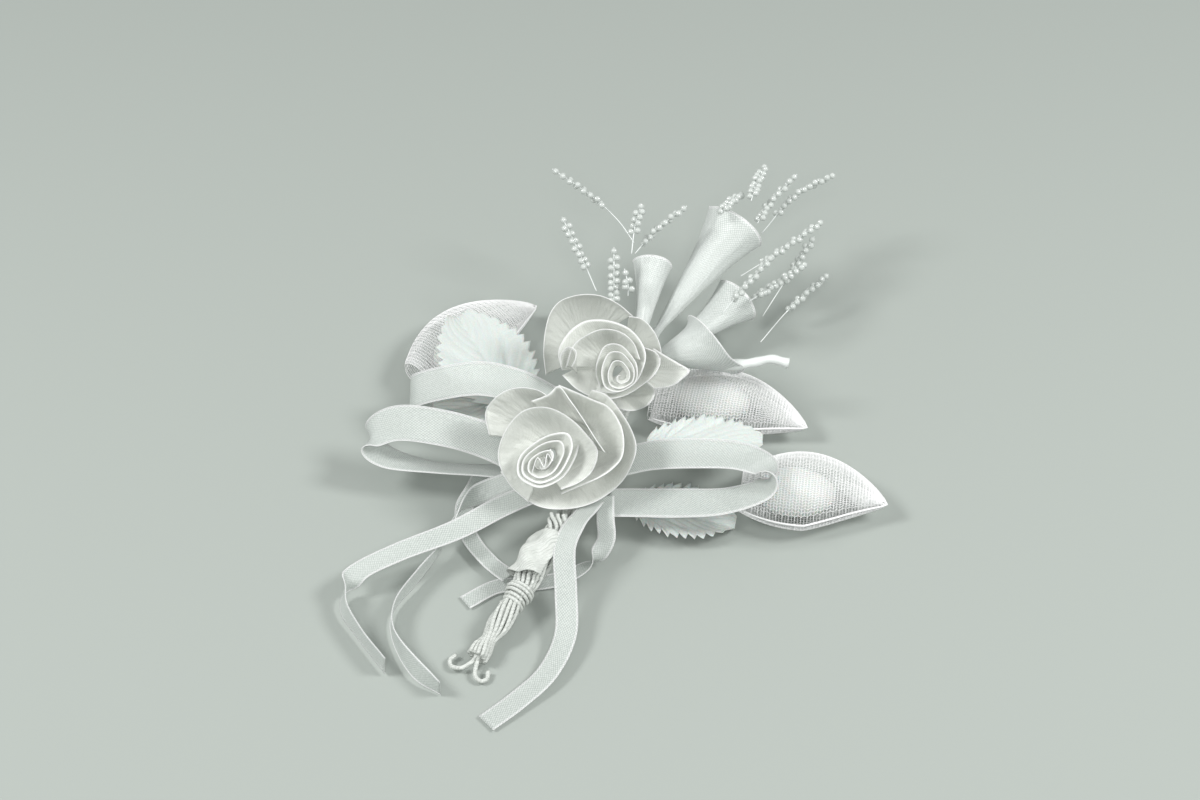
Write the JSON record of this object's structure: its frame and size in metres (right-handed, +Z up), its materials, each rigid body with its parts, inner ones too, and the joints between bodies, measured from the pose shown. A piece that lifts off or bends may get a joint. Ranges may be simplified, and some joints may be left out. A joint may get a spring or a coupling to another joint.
{
  "type": "artificial calla lily and rose bouquet",
  "caption": "Small wedding spray of white satin calla lilies and ribbon roses with net-wrapped almonds, pearl strands, satin leaves and ribbon tails on a paper-bound wire stem, lying down.",
  "frame": {"origin": "centre of the flowers, leaves, loops and stem on the surface they lie on, at the lowest point", "axes": "+Z up from the surface, -Y along the stem towards its cut end, +X to the right seen from the stem's end"},
  "size_m": [0.1478, 0.1803, 0.045],
  "materials": {
    "satin": "satin ribbon, shiny outside and matt inside",
    "net": "open nylon net",
    "paper": "matt crepe paper over thin wire",
    "sugar": "matt sugar shell",
    "pearls": "milky plastic beads on clear thread"
  },
  "bodies": {
    "root": {"stem_bundle": "paper", "core_bundle": "paper", "binding_upper": "paper", "stem_hook_left": "paper", "stem_hook_right": "paper", "paper_wrap": "paper", "rose_lower": "satin", "rose_upper": "satin", "rose_upper_outer_petal": "satin", "rose_upper_side_petal": "satin", "calla_left": "satin", "calla_back": "satin", "calla_middle": "satin", "calla_right": "satin", "calla_wire_back": "paper", "pearl_spray_01": "pearls", "pearl_spray_02": "pearls", "pearl_spray_03": "pearls", "pearl_spray_04": "pearls", "pearl_spray_05": "pearls", "pearl_spray_06": "pearls", "pearl_spray_07": "pearls", "pearl_spray_08": "pearls", "pearl_spray_09": "pearls", "pearl_spray_10": "pearls", "pearl_spray_11": "pearls", "pearl_spray_12": "pearls", "pearl_spray_13": "pearls", "pearl_spray_14": "pearls", "pearl_spray_15": "pearls", "net_petal_left": "net", "almond_left": "sugar", "net_petal_right_upper": "net", "almond_right_upper": "sugar", "net_petal_right_lower": "net", "almond_right_lower": "sugar", "net_piece_rear": "net", "leaf_left_back": "satin", "leaf_left_front": "satin", "leaf_right_upper": "satin", "leaf_right_lower": "satin", "loop_left_upper": "satin", "loop_left_lower": "satin", "loop_right": "satin", "tail_left_outer": "satin", "tail_left_inner": "satin", "tail_front": "satin", "ribbon_right_return": "satin", "ribbon_left_arc": "satin"}
  },
  "joints": []
}
